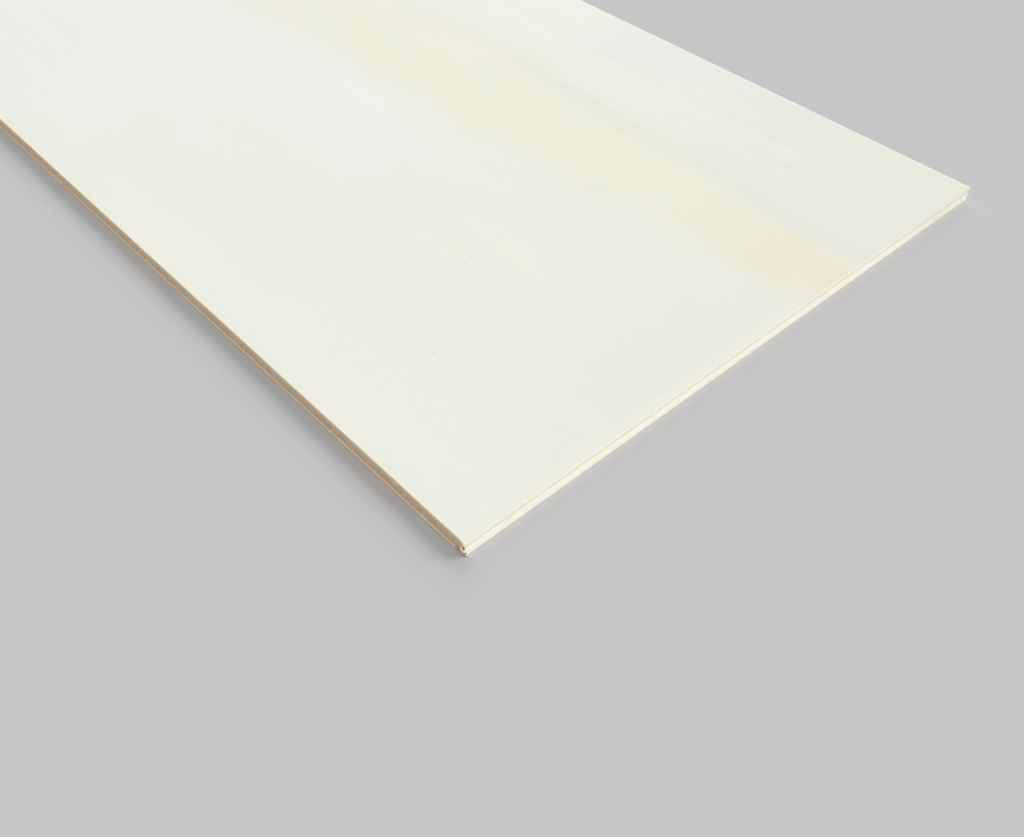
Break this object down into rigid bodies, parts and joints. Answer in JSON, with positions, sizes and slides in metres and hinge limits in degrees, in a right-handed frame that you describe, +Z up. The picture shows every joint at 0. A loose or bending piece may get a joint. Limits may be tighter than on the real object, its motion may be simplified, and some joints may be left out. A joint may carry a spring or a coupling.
{
  "type": "plywood sheet",
  "caption": "Thin rectangular sheet of pale three-ply plywood, lying flat, with veneer faces, a cross-grained core and one knocked corner.",
  "frame": {"origin": "centre of the sheet's underside, the splinter at the knocked corner left out", "axes": "+Z up through the plies, +Y along the sheet and the grain of its faces, +X across the sheet; the knocked corner is at low X and low Y"},
  "size_m": [0.15, 0.3018, 0.0036],
  "materials": {
    "back_veneer": "bare sanded veneer",
    "core_ply": "bare sawn edge",
    "face_veneer": "bare sanded veneer"
  },
  "bodies": {
    "root": {"back_veneer": "back_veneer", "core_ply": "core_ply", "face_veneer": "face_veneer"}
  },
  "joints": []
}
